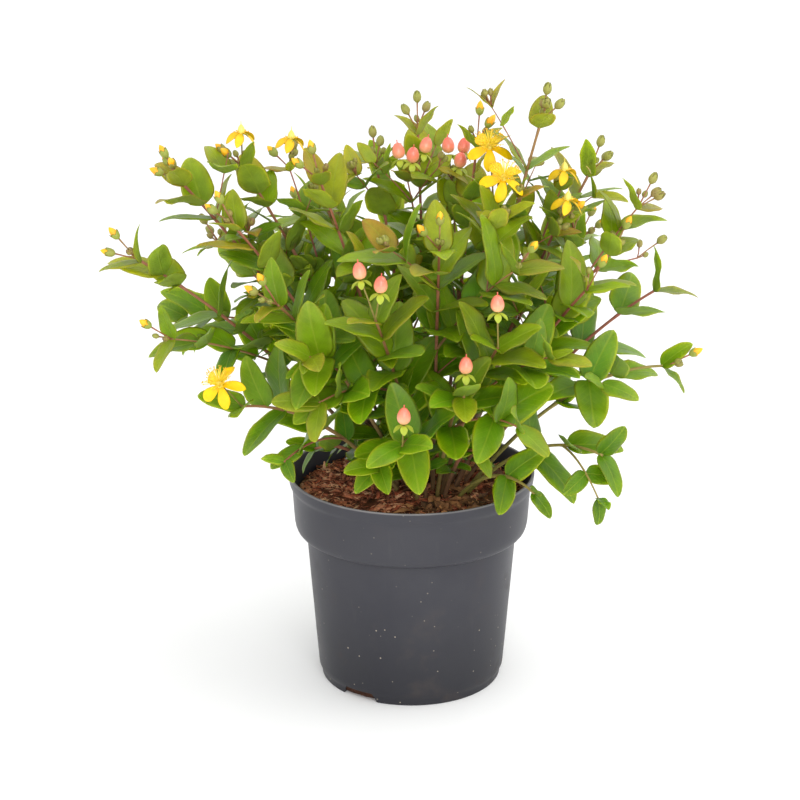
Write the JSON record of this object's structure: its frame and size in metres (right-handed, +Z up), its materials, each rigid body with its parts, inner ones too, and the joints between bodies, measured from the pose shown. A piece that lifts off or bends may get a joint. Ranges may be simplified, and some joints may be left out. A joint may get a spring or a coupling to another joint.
{
  "type": "potted st johns wort",
  "caption": "Bushy garden St John's wort with opposite leaves, coral berries and yellow flowers, growing in a tapered nursery pot that stands on its flat base.",
  "frame": {"origin": "centre of the pot's base, on the surface it stands on", "axes": "+Z up along the pot's axis, -Y towards the front of the plant, +X to its right"},
  "size_m": [0.4485, 0.3673, 0.4701],
  "materials": {
    "pot_plastic": "satin moulded plastic with fine scuffs and soil dust",
    "compost": "rough fibrous bark compost",
    "foliage": "soft satin leaves with paler veins, reddish stems",
    "berry": "smooth semi-gloss fruit skin",
    "petals": "soft thin petals",
    "faded_petals": "wilted petals and pale ovary",
    "dry_litter": "dry brittle leaf and twig"
  },
  "bodies": {
    "root": {"back_left": "foliage", "back_mid": "foliage", "back_mid_left": "foliage", "back_mid_right": "foliage", "back_right": "foliage", "berry_1": "berry", "berry_10": "berry", "berry_11": "berry", "berry_2": "berry", "berry_3": "berry", "berry_4": "berry", "berry_5": "berry", "berry_6": "berry", "berry_7": "berry", "berry_8": "berry", "berry_9": "berry", "berry_front": "foliage", "berry_low": "foliage", "berry_pair": "foliage", "berry_right": "foliage", "bloom_top": "foliage", "dry_leaf_1": "dry_litter", "dry_leaf_2": "dry_litter", "dry_leaf_3": "dry_litter", "dry_twig": "dry_litter", "far_left": "foliage", "far_right": "foliage", "flower_left": "petals", "flower_mid": "petals", "flower_top": "petals", "front_fill": "foliage", "front_left_bud": "foliage", "left_inner": "foliage", "left_top": "foliage", "low_front": "foliage", "low_front_right": "foliage", "low_inner": "foliage", "lower_left": "foliage", "mid_back_top": "foliage", "mid_left_top": "foliage", "pot": "pot_plastic", "right": "foliage", "right_back_top": "foliage", "right_bud": "foliage", "right_side": "foliage", "rim_rosette": "foliage", "soil": "compost", "spent_left": "faded_petals", "spent_mid": "faded_petals", "spent_right": "foliage", "spent_right_lower": "faded_petals", "spent_right_upper": "faded_petals", "top_centre": "foliage", "top_right": "foliage", "top_right_inner": "foliage", "trailing": "foliage", "upper_left": "foliage"}
  },
  "joints": []
}
